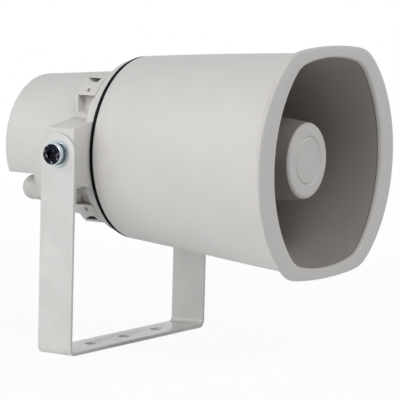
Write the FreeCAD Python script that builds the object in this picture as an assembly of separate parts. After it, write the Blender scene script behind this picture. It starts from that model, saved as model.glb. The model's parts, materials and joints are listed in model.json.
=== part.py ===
import FreeCAD, Part
import math
import os

from FreeCAD import Vector

# Horn loudspeaker on a U-bracket. Millimetres, +Z up. The horn fires towards -Y.
# The origin is the middle of the bracket's foot, on its underside.

# Bracket, a bent steel strip
bracket_width = 185.5
strip_width = 30.0
strip_thickness = 2.5
bend_inside_radius = 3.5
pivot_height = 151.0
foot_hole_pitch = 45.0
foot_hole_diameter = 9.0

# Pivot bolts, washers and inserts
bolt_diameter = 10.0
bolt_head_diameter = 16.0
bolt_head_height = 5.0
bolt_head_chamfer = 0.8
bolt_socket_width = 7.0
bolt_socket_depth = 3.5
bolt_length = 28.0
bolt_running_clearance = 0.08
plain_washer_diameter = 20.0
plain_washer_thickness = 1.5
spring_washer_diameter = 16.6
spring_washer_thickness = 1.8
spring_washer_split = 1.4
insert_diameter = 14.0
insert_length = 18.0
bolt_tip_room = 7.0
arm_side_play = 0.25

# Bell shell, the pale outer moulding
bell_rear_diameter = 141.0
bell_rear_y = -15.5
bell_wall = 3.0
bell_front_y = -179.5
rim_half_width = 100.0
rim_half_height = 85.5
rim_side_bulge = 47.0
rim_top_bulge = 3.0
rim_step = 5.6
rim_depth = 8.0
bell_swell = 0.3
rim_corner_sharpness = 50.0

# Horn flare, the darker inner wall
flare_mouth_half_width = 79.9
flare_mouth_half_height = 78.6
flare_side_bulge = 34.3
flare_top_bulge = 5.5
flare_wall = 1.6
flare_setback = 4.0
lip_setback = 3.6
lip_cover = 1.4
flare_bowl_diameter = 109.0
flare_bowl_depth = 15.0
flare_growth = 1.1
flare_hub_diameter = 64.0
flare_hub_depth = 7.0
flare_fit = 0.12

# Throat tube and reflector
tube_neck_diameter = 25.0
tube_bore = 19.0
tube_end_diameter = 40.0
tube_wall = 2.0
tube_mouth_gap = 14.5
tube_flange_diameter = 60.0
tube_flange_thickness = 3.0
throat_screw_circle_diameter = 48.0
cup_front_diameter = 57.0
cup_rear_diameter = 84.0
cup_length = 107.5
cup_wall = 2.0
cup_end_wall = 4.5
cap_thickness = 3.0
cap_edge_radius = 2.8
cap_skin = 2.0
cap_ring_diameter = 35.2
cap_ring_width = 1.5
cap_ring_depth = 0.5
cap_setback = 18.9
post_diameter = 7.0
post_circle_diameter = 38.0
post_overlap = 12.0
reflector_screw_count = 3
reflector_screw_sink = 2.4

# Rear housing, stepped in from the bell: gasket, flange, corner pads, tapered drum
housing_wall = 3.0
gasket_thickness = 3.0
gasket_step = 0.3
flange_step = 3.2
flange_land = 8.5
flange_thickness = 8.5
flange_slit_width = 1.2
flange_slit_depth = 1.6
flange_slit_from = 40.0
drum_rear_y = 80.7
drum_taper_angle = 4.5
drum_edge_radius = 4.0
boss_half_depth = 14.5
boss_above_axis = 18.8
boss_below_axis = 22.5
boss_slope = 8.5
boss_edge_radius = 1.5
notch_below_axis = 22.0
notch_front_y = 54.0
pad_step = 0.5
pad_depth = 17.0
pad_inner_x = 26.0
pad_low = 29.0
pad_high = 56.0
pad_slant_length = 6.0
pad_slant_height = 12.0
pad_wall = 2.0
pad_web = 0.8
pocket_floor = 1.2
pad_keyhole_width = 3.0
pad_keyhole_height = 2.6
pad_keyhole_drop = 2.6
pad_keyhole_depth = 1.8
housing_screw_inset = 5.8
housing_screw_angle = 49.0
screw_boss_diameter = 9.0

# Small screws
screw_diameter = 3.8
screw_head_diameter = 7.4
screw_head_height = 2.6
screw_clearance = 0.1
housing_screw_length = 28.0
housing_screw_sink = 4.5
housing_screw_room = 0.4
fixing_screw_grip = 10.0
shell_boss_depth = 14.0

# Driver
driver_room = 5.8
driver_flange_thickness = 3.5
driver_cover_depth = 11.5
driver_seal_thickness = 1.0
driver_seal_diameter = 38.0
driver_screw_inset = 4.0
driver_screw_room = 1.3
driver_standoff_diameter = 9.0
chamber_depth = 5.5
coil_diameter = 38.0
coil_wall = 0.6
coil_winding = 0.5
coil_length = 7.5
coil_gap = 0.7
dome_height = 4.0
film_thickness = 0.4
plug_clearance = 1.2
plug_rib_width = 2.0
plug_rib_depth = 2.5
surround_span = 5.0
surround_land = 3.0
surround_roll = 0.8
surround_gap = 0.6
plate_diameter = 76.0
plate_thickness = 5.0
magnet_diameter = 80.0
magnet_bore_step = 2.8
magnet_thickness = 14.0
yoke_thickness = 5.0

# Line transformer and terminal block
core_width = 42.0
core_height = 35.0
core_stack = 16.0
core_limb = 7.0
core_front_y = 34.0
core_above_axis = 7.5
winding_clearance = 0.4
winding_bulge = 7.0
winding_edge_radius = 3.0
core_post_diameter = 7.0
terminal_width = 18.0
terminal_height = 14.0
terminal_depth = 12.0
terminal_below_axis = 35.5
terminal_ways = 3
terminal_entry_depth = 4.0
terminal_entry_height = 5.0
terminal_clamp_depth = 4.0
terminal_clamp_rise = 3.0

# Cable glands
gland_offset = 21.5
gland_below_axis = 35.5
gland_thread_diameter = 16.0
gland_bore = 9.0
gland_collar_diameter = 21.0
gland_collar_thickness = 4.0
gland_nut_diameter = 19.0
gland_nut_length = 22.3
gland_nut_flats = 19.6
gland_nut_flats_length = 7.5
gland_dome_length = 9.0
gland_wall = 2.0
gland_seal_length = 8.0
locknut_width = 18.0
locknut_thickness = 4.5

# Derived sizes
gasket_diameter = bell_rear_diameter - 2 * gasket_step
flange_diameter = bell_rear_diameter - 2 * flange_step
pad_diameter = flange_diameter - 2 * pad_step
drum_front_diameter = flange_diameter - 2 * flange_land
housing_screw_circle_diameter = flange_diameter - 2 * housing_screw_inset
driver_flange_diameter = drum_front_diameter - 2 * (housing_wall + driver_room)
driver_screw_circle_diameter = driver_flange_diameter - 2 * driver_screw_inset
driver_cover_diameter = driver_screw_circle_diameter - screw_head_diameter - 2 * driver_screw_room
chamber_diameter = coil_diameter + 2 * surround_span
coil_gap_diameter = coil_diameter + 2 * coil_winding + 2 * coil_gap
magnet_bore = coil_gap_diameter + 2 * magnet_bore_step

# Derived places
axis_point = Vector(0, 0, pivot_height)
forward = Vector(0, -1, 0)
rearward = Vector(0, 1, 0)
upward = Vector(0, 0, 1)
arm_inner_x = bracket_width / 2 - strip_thickness
boss_face_x = arm_inner_x - arm_side_play
housing_front_y = bell_rear_y + gasket_thickness
flange_rear_y = housing_front_y + flange_thickness
pad_rear_y = flange_rear_y + pad_depth
housing_screw_seat_y = pad_rear_y - housing_screw_sink - screw_head_height
shell_wall_front_y = bell_rear_y - bell_wall
rim_start_y = bell_front_y + rim_depth
flare_front_y = bell_front_y + flare_setback
cap_front_y = bell_front_y + cap_setback
cup_front_y = cap_front_y + cap_thickness
reflector_screw_seat_y = cup_front_y + reflector_screw_sink
cup_rear_y = cup_front_y + cup_length
tube_end_y = cup_front_y + cup_end_wall + tube_mouth_gap
tube_flange_rear_y = bell_rear_y + tube_flange_thickness
driver_front_y = tube_flange_rear_y + driver_seal_thickness
driver_rear_y = driver_front_y + driver_cover_depth
film_rear_y = driver_rear_y + film_thickness
plate_rear_y = film_rear_y + plate_thickness
magnet_rear_y = plate_rear_y + magnet_thickness
notch_roof_z = pivot_height - notch_below_axis

section_points = 64


def turned(outline):
    """Solid turned about the horn axis from points given as (radius, y)."""
    corners = [Vector(radius, y, pivot_height) for radius, y in outline]
    profile = Part.Face(Part.makePolygon(corners + corners[:1]))
    return profile.revolve(axis_point, rearward, 360)


def disc(diameter, front_y, rear_y, x=0.0, z=0.0):
    """Cylinder along the horn's direction; x and z are counted from the horn axis."""
    start = Vector(x, front_y, pivot_height + z)
    return Part.makeCylinder(diameter / 2, rear_y - front_y, start, rearward)


def ring(outer, inner, front_y, rear_y, x=0.0, z=0.0):
    overlap = rear_y - front_y
    bore = disc(inner, front_y - overlap, rear_y + overlap, x, z)
    return disc(outer, front_y, rear_y, x, z).cut(bore)


def crossbar(diameter, from_x, to_x):
    """Cylinder along X on the pivot axis."""
    start = Vector(min(from_x, to_x), 0, pivot_height)
    return Part.makeCylinder(diameter / 2, abs(to_x - from_x), start, Vector(1, 0, 0))


def block(low, high):
    size = [b - a for a, b in zip(low, high)]
    return Part.makeBox(size[0], size[1], size[2], Vector(*low))


def around_axis(diameter, count, first_angle=90.0):
    """Points (x, z) evenly spaced on a circle about the horn axis."""
    points = []
    for index in range(count):
        angle = math.radians(first_angle + 360.0 * index / count)
        points.append((diameter / 2 * math.cos(angle), diameter / 2 * math.sin(angle)))
    return points


def screw(x, z, seat_y, length, direction):
    """Pan-head screw; its head rests on seat_y and its shank goes along direction."""
    seat = Vector(x, seat_y, pivot_height + z)
    shank = screw_diameter / 2
    head = screw_head_diameter / 2
    bevel = screw_head_height * 0.35
    outline = [(0, length), (shank, length), (shank, 0), (head, 0), (head, bevel - screw_head_height),
               (head - bevel, -screw_head_height), (0, -screw_head_height)]
    corners = [seat + Vector(radius, along * direction.y, 0) for radius, along in outline]
    solid = Part.Face(Part.makePolygon(corners + corners[:1])).revolve(seat, rearward, 360)
    half = screw_diameter * 0.13
    span = screw_head_diameter * 0.28
    ends = sorted((seat.y - direction.y * screw_head_height * 0.5,
                   seat.y - direction.y * (screw_head_height + 1.0)))
    upright = block((x - half, ends[0], seat.z - span), (x + half, ends[1], seat.z + span))
    across = block((x - span, ends[0], seat.z - half), (x + span, ends[1], seat.z + half))
    return solid.cut([upright, across])


def mirrored(shape):
    return shape.mirror(Vector(0, 0, 0), Vector(1, 0, 0))


def save(node, shape):
    shape.exportStep("parts/" + node + ".step")


# Outlines of the bell and flare


def arc_reach(angle, reach, bulge, half_chord):
    """Distance from the axis to an arc that stands out by bulge over a chord."""
    radius = (half_chord ** 2 + bulge ** 2) / (2 * bulge)
    centre = reach - radius
    return centre * math.cos(angle) + math.sqrt(radius ** 2 - (centre * math.sin(angle)) ** 2)


def bulged_outline(angle, half_width, half_height, side_bulge, top_bulge):
    """Distance from the axis to a rounded frame with arced sides, top and floor."""
    turn = math.atan2(abs(math.sin(angle)), abs(math.cos(angle)))
    side = arc_reach(turn, half_width, side_bulge, half_height - top_bulge)
    top = arc_reach(math.pi / 2 - turn, half_height, top_bulge, half_width - side_bulge)
    sharp = rim_corner_sharpness
    return (side ** -sharp + top ** -sharp) ** (-1 / sharp)


def rim_reach(angle):
    return bulged_outline(angle, rim_half_width, rim_half_height, rim_side_bulge, rim_top_bulge)


def flare_mouth_reach(angle):
    return bulged_outline(angle, flare_mouth_half_width, flare_mouth_half_height,
                          flare_side_bulge, flare_top_bulge)


def body_reach(angle, y):
    """Outside of the bell behind its rim: round at the rear, easing into the rim's form."""
    share = (bell_rear_y - y) / (bell_rear_y - rim_start_y)
    ease = share + bell_swell * share * (1 - share)
    rear = bell_rear_diameter / 2
    return rear + (rim_reach(angle) - rim_step - rear) * ease


def flare_reach(angle, y):
    """Outside of the flare, which opens exponentially from its round bowl to its mouth."""
    bowl_front_y = shell_wall_front_y - flare_bowl_depth
    share = (bowl_front_y - y) / (bowl_front_y - flare_front_y)
    opening = (math.exp(flare_growth * share) - 1) / (math.exp(flare_growth) - 1)
    bowl = flare_bowl_diameter / 2
    return bowl + (flare_mouth_reach(angle) - bowl) * opening


def section(y, reach):
    """Closed smooth wire in the plane y; reach gives its distance from the axis."""
    points = []
    for index in range(section_points):
        angle = 2 * math.pi * index / section_points
        radius = reach(angle)
        points.append(Vector(radius * math.cos(angle), y, pivot_height + radius * math.sin(angle)))
    curve = Part.BSplineCurve()
    curve.interpolate(Points=points, PeriodicFlag=True)
    return Part.Wire(curve.toShape())


def loft(stations, ruled=False):
    return Part.makeLoft([section(y, reach) for y, reach in stations], True, ruled)


def spread(first, last, count):
    return [first + (last - first) * index / (count - 1) for index in range(count)]


# Bracket


def make_bracket():
    half = bracket_width / 2
    top = pivot_height + strip_width
    outer = block((-half, -strip_width / 2, 0), (half, strip_width / 2, top))
    inner = block((-half + strip_thickness, -strip_width, strip_thickness),
                  (half - strip_thickness, strip_width, top + strip_width))
    outside_radius = bend_inside_radius + strip_thickness
    outer = outer.makeFillet(outside_radius, [e for e in outer.Edges if on_floor_side(e, half, 0)])
    inner = inner.makeFillet(bend_inside_radius,
                             [e for e in inner.Edges
                              if on_floor_side(e, half - strip_thickness, strip_thickness)])
    strip = outer.cut(inner)
    arm_form = block((-half, -strip_width / 2, 0), (half, strip_width / 2, pivot_height))
    arm_form = arm_form.fuse(crossbar(strip_width, -half, half))
    strip = strip.common(arm_form)
    pivot_hole = bolt_diameter + 2 * bolt_running_clearance
    cuts = [crossbar(pivot_hole, -half - strip_width, half + strip_width)]
    for index in (-1, 0, 1):
        start = Vector(index * foot_hole_pitch, 0, -strip_thickness)
        cuts.append(Part.makeCylinder(foot_hole_diameter / 2, 3 * strip_thickness, start, upward))
    return strip.cut(cuts).removeSplitter()


def on_floor_side(edge, x, z):
    """True for an edge along Y at the given distance from the middle and height."""
    middle = edge.CenterOfMass
    along_y = abs(edge.Vertexes[0].Y - edge.Vertexes[-1].Y) > strip_width / 2
    return along_y and abs(abs(middle.x) - x) < 0.01 and abs(middle.z - z) < 0.01


# Pivot hardware, made on the +X side and mirrored


def make_pivot_hardware():
    washer_x = bracket_width / 2 + arm_side_play / 2
    spring_x = washer_x + plain_washer_thickness
    head_x = spring_x + spring_washer_thickness
    tip_x = head_x - bolt_length
    hole = bolt_diameter + 2 * bolt_running_clearance
    washer = crossbar(plain_washer_diameter, washer_x, spring_x)
    washer = washer.cut(crossbar(hole, washer_x - 1, spring_x + 1))
    spring = crossbar(spring_washer_diameter, spring_x, head_x)
    spring = spring.cut(crossbar(hole, spring_x - 1, head_x + 1))
    split = block((spring_x - 1, -spring_washer_split / 2, pivot_height),
                  (head_x + 1, spring_washer_split / 2, pivot_height + spring_washer_diameter))
    split.rotate(axis_point, Vector(1, 0, 0), 35)
    spring = spring.cut(split)
    head = crossbar(bolt_head_diameter, head_x, head_x + bolt_head_height)
    rim = [e for e in head.Edges if e.Length > bolt_head_diameter and
           e.CenterOfMass.x > head_x + bolt_head_height / 2]
    head = head.makeChamfer(bolt_head_chamfer, rim)
    socket = hexagon(bolt_socket_width, bolt_socket_depth * 2, Vector(1, 0, 0))
    socket.translate(Vector(head_x + bolt_head_height - bolt_socket_depth, 0, pivot_height))
    bolt = head.fuse(crossbar(bolt_diameter, tip_x, head_x)).cut(socket)
    insert_x = boss_face_x - insert_length
    insert = crossbar(insert_diameter, insert_x, boss_face_x)
    insert = insert.cut(crossbar(hole, insert_x - 1, boss_face_x + 1))
    return bolt, spring, washer, insert


def hexagon(across_flats, length, direction):
    radius = across_flats / math.sqrt(3)
    corners = [math.radians(60 * index + 30) for index in range(6)]
    points = [Vector(radius * math.cos(turn), radius * math.sin(turn), 0) for turn in corners]
    prism = Part.Face(Part.makePolygon(points + points[:1])).extrude(Vector(0, 0, length))
    prism.Placement = FreeCAD.Placement(Vector(0, 0, 0), FreeCAD.Rotation(upward, direction))
    return prism


# Bell shell and flare


def lip_reach(share):
    """Front of the rim: from its outer edge (share 0) inwards to its opening (share 1)."""
    return lambda angle: ((1 - share) * rim_reach(angle)
                          + share * (flare_mouth_reach(angle) - lip_cover))


def rim_inset(inset):
    return lambda angle: rim_reach(angle) - inset


def body_inset(y, inset):
    return lambda angle: body_reach(angle, y) - inset


def make_shell_form():
    """The bell's outside as a solid, from the gasket to the crest of its rim."""
    body = loft([(y, body_inset(y, 0.0)) for y in spread(bell_rear_y, rim_start_y, 6)])
    rim = loft([(rim_start_y, rim_inset(rim_step)),
                (rim_start_y - rim_depth * 0.25, rim_inset(rim_step * 0.86)),
                (rim_start_y - rim_depth * 0.46, rim_inset(rim_step * 0.38)),
                (rim_start_y - rim_depth * 0.64, rim_inset(0.0)),
                (rim_start_y - rim_depth * 0.80, lip_reach(0.02)),
                (rim_start_y - rim_depth * 0.92, lip_reach(0.13)),
                (rim_start_y - rim_depth * 0.98, lip_reach(0.28)),
                (bell_front_y, lip_reach(0.45))], True)
    return body.fuse(rim)


def make_shell_cavity():
    back = loft([(y, body_inset(y, bell_wall))
                 for y in spread(shell_wall_front_y, rim_start_y, 6)])
    front_y = rim_start_y - rim_depth * 0.58
    front = loft([(rim_start_y, rim_inset(rim_step + bell_wall)),
                  (front_y, rim_inset(rim_step + bell_wall))])
    return back.fuse(front)


def make_bell_shell():
    shell = make_shell_form().cut(make_shell_cavity())
    lip_edge_y = bell_front_y + lip_setback
    lip_cut = loft([(bell_front_y - 1.0, lip_reach(0.32)),
                    (bell_front_y, lip_reach(0.56)),
                    (bell_front_y + lip_setback * 0.1, lip_reach(0.74)),
                    (bell_front_y + lip_setback * 0.33, lip_reach(0.89)),
                    (bell_front_y + lip_setback * 0.67, lip_reach(0.97)),
                    (lip_edge_y, lip_reach(1.0)),
                    (flare_front_y + lip_setback, lip_reach(1.0))], True)
    shell = shell.cut([lip_cut, make_flare_form(-flare_fit, shell_wall_front_y, lip_edge_y)])
    bosses = []
    holes = [disc(tube_neck_diameter + 2 * flare_fit, shell_wall_front_y - 1, bell_rear_y + 1)]
    hole = screw_diameter + 2 * screw_clearance
    boss_front_y = shell_wall_front_y - shell_boss_depth
    for x, z in housing_screw_places():
        bosses.append(disc(screw_boss_diameter, boss_front_y, bell_rear_y, x, z))
        holes.append(disc(hole, boss_front_y + 2, bell_rear_y + 1, x, z))
    for x, z in around_axis(driver_screw_circle_diameter, 4):
        bosses.append(disc(driver_standoff_diameter, bell_rear_y - 0.5, driver_front_y, x, z))
        holes.append(disc(hole, shell_wall_front_y + 0.5, driver_front_y + 1, x, z))
    for x, z in around_axis(throat_screw_circle_diameter, 3):
        holes.append(disc(hole, shell_wall_front_y - 1, bell_rear_y + 1, x, z))
    return shell.fuse(bosses).cut(holes)


def make_flare_form(inset, rear_y, front_y):
    """The flare as a solid plug: a round-cornered bowl, then sections out to the mouth."""
    bowl_front_y = shell_wall_front_y - flare_bowl_depth
    bowl = flare_bowl_diameter / 2 - inset
    corner = rear_y - bowl_front_y
    steps = []
    for index in range(5):
        turn = math.radians(22.5 * index)
        reach = bowl - corner * (1 - math.sin(turn))
        steps.append((bowl_front_y + corner * math.cos(turn), constant(reach)))
    stations = [(y, flare_inset(max(y, flare_front_y), inset))
                for y in spread(bowl_front_y, front_y, 7)]
    return loft(steps, True).fuse(loft(stations))


def constant(reach):
    return lambda angle: reach


def flare_inset(y, inset):
    return lambda angle: flare_reach(angle, y) - inset


def make_horn_flare():
    outer = make_flare_form(0.0, shell_wall_front_y, flare_front_y)
    inner = make_flare_form(flare_wall, shell_wall_front_y - flare_wall, flare_front_y - 1.0)
    hub_front_y = shell_wall_front_y - flare_hub_depth
    hub = disc(flare_hub_diameter, hub_front_y, shell_wall_front_y - flare_wall / 2)
    flare = outer.cut(inner).fuse(hub)
    holes = [disc(tube_neck_diameter + 2 * flare_fit, hub_front_y - 1, shell_wall_front_y + 1)]
    for x, z in around_axis(throat_screw_circle_diameter, 3):
        holes.append(disc(screw_diameter + 2 * screw_clearance, hub_front_y + 1.5,
                          shell_wall_front_y + 1, x, z))
    return flare.cut(holes)


# Throat tube, reflector cup and cap


def make_throat_tube():
    neck = tube_neck_diameter / 2
    neck_end_y = shell_wall_front_y - flare_hub_depth
    bore = tube_bore / 2
    end = tube_end_diameter / 2
    tube = turned([(bore, tube_flange_rear_y), (tube_flange_diameter / 2, tube_flange_rear_y),
                   (tube_flange_diameter / 2, bell_rear_y), (neck, bell_rear_y),
                   (neck, neck_end_y), (end, tube_end_y), (end - tube_wall, tube_end_y)])
    posts = []
    holes = []
    for x, z in around_axis(post_circle_diameter, reflector_screw_count):
        posts.append(disc(post_diameter, cup_front_y + cup_end_wall, tube_end_y + post_overlap,
                          x, z))
        holes.append(disc(screw_diameter + 2 * screw_clearance, cup_front_y,
                          tube_end_y + post_overlap - 2, x, z))
    head = screw_head_diameter + 2 * screw_clearance
    for x, z in around_axis(throat_screw_circle_diameter, 3):
        holes.append(disc(screw_diameter + 2 * screw_clearance, bell_rear_y - 1,
                          tube_flange_rear_y + 1, x, z))
        holes.append(disc(head, tube_flange_rear_y - screw_head_height - 0.1,
                          tube_flange_rear_y + 1, x, z))
    return tube.fuse(posts).cut(holes)


def make_reflector_cup():
    front = cup_front_diameter / 2
    rear = cup_rear_diameter / 2
    end_y = cup_front_y + cup_end_wall
    slope = (rear - front) / cup_length
    inner_front = front + slope * cup_end_wall - cup_wall
    cup = turned([(0, cup_front_y), (front, cup_front_y), (rear, cup_rear_y),
                  (rear - cup_wall, cup_rear_y), (inner_front, end_y), (0, end_y)])
    corner = [e for e in cup.Edges if abs(e.CenterOfMass.y - end_y) < 0.01 and
              abs(e.Length - 2 * math.pi * inner_front) < 0.1]
    cup = cup.makeFillet(cup_wall * 2, corner)
    holes = []
    for x, z in around_axis(post_circle_diameter, reflector_screw_count):
        holes.append(disc(screw_diameter + 2 * screw_clearance, cup_front_y - 1, end_y + 1, x, z))
        holes.append(disc(screw_head_diameter + 2 * screw_clearance, cup_front_y - 1,
                          reflector_screw_seat_y, x, z))
    return cup.cut(holes)


def make_reflector_cap():
    radius = cup_front_diameter / 2 - 0.2
    cap = disc(2 * radius, cap_front_y, cup_front_y)
    rim = [e for e in cap.Edges
           if abs(e.CenterOfMass.y - cap_front_y) < 0.01 and e.Length > radius]
    cap = cap.makeFillet(cap_edge_radius, rim)
    recess = disc(2 * (radius - cap_edge_radius - 1), cap_front_y + cap_skin, cup_front_y + 1)
    groove = ring(cap_ring_diameter + cap_ring_width, cap_ring_diameter - cap_ring_width,
                  cap_front_y - cap_ring_depth, cap_front_y + cap_ring_depth)
    return cap.cut([recess, groove])


# Rear housing


def drum_radius(y):
    return drum_front_diameter / 2 - math.tan(math.radians(drum_taper_angle)) * (y - flange_rear_y)


def make_drum(inset, front_y, rear_y, edge_radius):
    drum = turned([(0, front_y), (drum_radius(front_y) - inset, front_y),
                   (drum_radius(rear_y) - inset, rear_y), (0, rear_y)])
    edge = [e for e in drum.Edges if abs(e.CenterOfMass.y - rear_y) < 0.01 and
            e.Length > drum_radius(rear_y)]
    return drum.makeFillet(edge_radius, edge)


def make_side_boss(side):
    """Solid boss from the drum out to the bracket arm; it narrows outwards."""
    rise = math.tan(math.radians(boss_slope))
    root_x = drum_radius(0) * 0.72
    grow = (boss_face_x - root_x) * rise
    wires = []
    for x, extra in ((boss_face_x, 0.0), (root_x, grow)):
        low = pivot_height - boss_below_axis - extra
        high = pivot_height + boss_above_axis + extra
        corners = [Vector(side * x, -boss_half_depth, low), Vector(side * x, boss_half_depth, low),
                   Vector(side * x, boss_half_depth, high), Vector(side * x, -boss_half_depth, high)]
        wires.append(Part.makePolygon(corners + corners[:1]))
    boss = Part.makeLoft(wires, True, True)
    long_edges = [e for e in boss.Edges if abs(e.Vertexes[0].X - e.Vertexes[-1].X) > 1]
    front_limit = block((-bracket_width, housing_front_y, 0),
                        (bracket_width, drum_rear_y, 2 * pivot_height))
    return boss.makeFillet(boss_edge_radius, long_edges).common(front_limit)


def side_prism(points, side, level, from_x):
    """Outline of (y, height from the axis), carried outwards along X from from_x."""
    corners = [Vector(side * from_x, y, pivot_height + level * height) for y, height in points]
    face = Part.Face(Part.makePolygon(corners + corners[:1]))
    return face.extrude(Vector(side * pad_diameter, 0, 0))


def make_corner_pads():
    """Four pads behind the flange's corners, and the hollows that open at their sides."""
    slant_y = pad_rear_y - pad_slant_length
    slant_top = pad_low + pad_slant_height
    outline = [(flange_rear_y, pad_low), (slant_y, pad_low), (pad_rear_y, slant_top),
               (pad_rear_y, pad_high), (flange_rear_y, pad_high)]
    screw_x, screw_height = housing_screw_places()[0]
    boss = screw_head_diameter / 2 + housing_screw_room
    low_top = screw_height - boss - pad_web
    low_rear_y = slant_y - pad_wall
    slope = pad_slant_length / pad_slant_height
    low = [(flange_rear_y, pad_low - 1), (low_rear_y - slope, pad_low - 1),
           (low_rear_y + slope * (low_top - pad_low), low_top), (flange_rear_y, low_top)]
    high_base = screw_height + boss + pad_web / 2
    high_top = pad_high - pad_wall
    high = [(flange_rear_y + pad_depth * 0.27, high_base), (housing_screw_seat_y, high_base),
            (pad_rear_y - pad_wall, high_top), (flange_rear_y + pad_depth * 0.17, high_top)]
    key_low = screw_height - pad_keyhole_drop
    key_front_y = flange_rear_y + pad_depth * 0.365
    keyhole = [(key_front_y, key_low), (key_front_y + pad_keyhole_width, key_low),
               (key_front_y + pad_keyhole_width, key_low + pad_keyhole_height),
               (key_front_y, key_low + pad_keyhole_height)]
    key_x = math.sqrt((pad_diameter / 2) ** 2 - (key_low + pad_keyhole_height) ** 2)
    drum_skin = disc(drum_front_diameter + 2 * pocket_floor, flange_rear_y - 1, pad_rear_y + 1)
    pads = []
    hollows = []
    for side in (-1, 1):
        for level in (-1, 1):
            pads.append(side_prism(outline, side, level, pad_inner_x))
            hollows.append(side_prism(low, side, level, screw_x - boss).cut(drum_skin))
            hollows.append(side_prism(high, side, level, pad_inner_x).cut(drum_skin))
            hollows.append(side_prism(keyhole, side, level, key_x - pad_keyhole_depth))
    pad = disc(pad_diameter, flange_rear_y, pad_rear_y)
    return pad.common(Part.makeCompound(pads)), hollows


def make_flange():
    """Round flange, slit beside each corner pad."""
    flange = disc(flange_diameter, housing_front_y, flange_rear_y)
    slit = ring(flange_diameter + 2, flange_diameter - 2 * flange_slit_depth,
                flange_rear_y - flange_slit_width, flange_rear_y)
    reach = flange_diameter
    low = block((-reach, -reach, pivot_height - flange_slit_from),
                (reach, reach, pivot_height + flange_slit_from))
    return flange.cut(slit.cut(low))


def make_rear_housing():
    drum = make_drum(0.0, housing_front_y, drum_rear_y, drum_edge_radius)
    notch = block((-drum_front_diameter, notch_front_y, 0),
                  (drum_front_diameter, drum_rear_y * 2, notch_roof_z))
    pads, hollows = make_corner_pads()
    housing = drum.cut(notch).fuse([make_flange(), pads.cut(hollows)])
    housing = housing.fuse([make_side_boss(1), make_side_boss(-1)])
    cavity = make_drum(housing_wall, housing_front_y - 1, drum_rear_y - housing_wall,
                       drum_edge_radius / 2)
    inner_notch = block((-drum_front_diameter, notch_front_y - housing_wall, 0),
                        (drum_front_diameter, drum_rear_y * 2, notch_roof_z + housing_wall))
    housing = housing.cut(cavity.cut(inner_notch))
    posts = [disc(core_post_diameter, core_front_y + core_stack, drum_rear_y - housing_wall / 2, x, z)
             for x, z in core_screw_places()]
    housing = housing.fuse(posts)
    hole = screw_diameter + 2 * screw_clearance
    cuts = []
    for side in (-1, 1):
        insert_hole = insert_diameter + 2 * screw_clearance
        cuts.append(crossbar(insert_hole, side * (boss_face_x - insert_length), side * bracket_width))
        tip_x = boss_face_x - insert_length - bolt_tip_room
        cuts.append(crossbar(bolt_diameter + 1, side * tip_x, side * boss_face_x))
        cuts.append(disc(gland_thread_diameter + 2 * screw_clearance, notch_front_y - housing_wall - 1,
                         notch_front_y + 1, side * gland_offset, -gland_below_axis))
    for x, z in housing_screw_places():
        cuts.append(disc(hole, housing_front_y - 1, pad_rear_y + 1, x, z))
        cuts.append(disc(screw_head_diameter + 2 * housing_screw_room, housing_screw_seat_y,
                         pad_rear_y + 1, x, z))
    for x, z in core_screw_places():
        cuts.append(disc(hole, core_front_y, drum_rear_y - housing_wall - 2, x, z))
    cuts.append(disc(hole, notch_front_y - housing_wall - 1, notch_front_y - 1,
                     0, -terminal_below_axis))
    return housing.cut(cuts)


def housing_screw_places():
    """The four corners, alike to the left, right, top and bottom."""
    angle = math.radians(housing_screw_angle)
    x = housing_screw_circle_diameter / 2 * math.cos(angle)
    z = housing_screw_circle_diameter / 2 * math.sin(angle)
    return [(x, z), (-x, z), (-x, -z), (x, -z)]


def core_screw_places():
    x = (core_width - core_limb) / 2
    z = (core_height - core_limb) / 2
    return [(-x, core_above_axis - z), (-x, core_above_axis + z),
            (x, core_above_axis - z), (x, core_above_axis + z)]


def make_body_gasket():
    gasket = ring(gasket_diameter, drum_front_diameter - 2 * housing_wall,
                  bell_rear_y, housing_front_y)
    holes = [disc(screw_diameter + 2 * screw_clearance, bell_rear_y - 1, housing_front_y + 1, x, z)
             for x, z in housing_screw_places()]
    return gasket.cut(holes)


# Driver


def make_driver_cover():
    bore = tube_bore / 2
    chamber = chamber_diameter / 2
    cover = turned([(bore, driver_front_y), (driver_flange_diameter / 2, driver_front_y),
                    (driver_flange_diameter / 2, driver_front_y + driver_flange_thickness),
                    (driver_cover_diameter / 2, driver_front_y + driver_flange_thickness),
                    (driver_cover_diameter / 2, driver_rear_y), (chamber, driver_rear_y),
                    (chamber, driver_rear_y - chamber_depth),
                    (bore, driver_front_y + driver_seal_thickness)])
    holes = [disc(screw_diameter + 2 * screw_clearance, driver_front_y - 1, driver_rear_y, x, z)
             for x, z in around_axis(driver_screw_circle_diameter, 4)]
    return cover.cut(holes)


def dome_sphere(offset):
    """Sphere that follows the dome's front face, moved out by offset."""
    base = coil_diameter / 2
    radius = (base ** 2 + dome_height ** 2) / (2 * dome_height)
    centre_y = driver_rear_y + film_thickness - dome_height + radius
    return Part.makeSphere(radius + offset, Vector(0, centre_y, pivot_height))


def make_phase_plug():
    nose_y = driver_rear_y - chamber_depth - 2
    body = turned([(0, nose_y), (coil_diameter / 2 - 5, driver_rear_y - chamber_depth),
                   (coil_diameter / 2 - 1, driver_rear_y), (0, driver_rear_y)])
    ribs = []
    for index in range(3):
        rib = block((0, driver_rear_y - chamber_depth, pivot_height - plug_rib_width / 2),
                    (chamber_diameter / 2 - 0.1, driver_rear_y - chamber_depth + plug_rib_depth,
                     pivot_height + plug_rib_width / 2))
        rib.rotate(axis_point, rearward, 120 * index + 30)
        ribs.append(rib)
    return body.fuse(ribs).cut(dome_sphere(plug_clearance))


def make_diaphragm():
    slab = disc(coil_diameter, driver_rear_y - 2 * dome_height, driver_rear_y + film_thickness)
    shell = dome_sphere(0.0).cut(dome_sphere(-film_thickness))
    return shell.common(slab)


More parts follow.
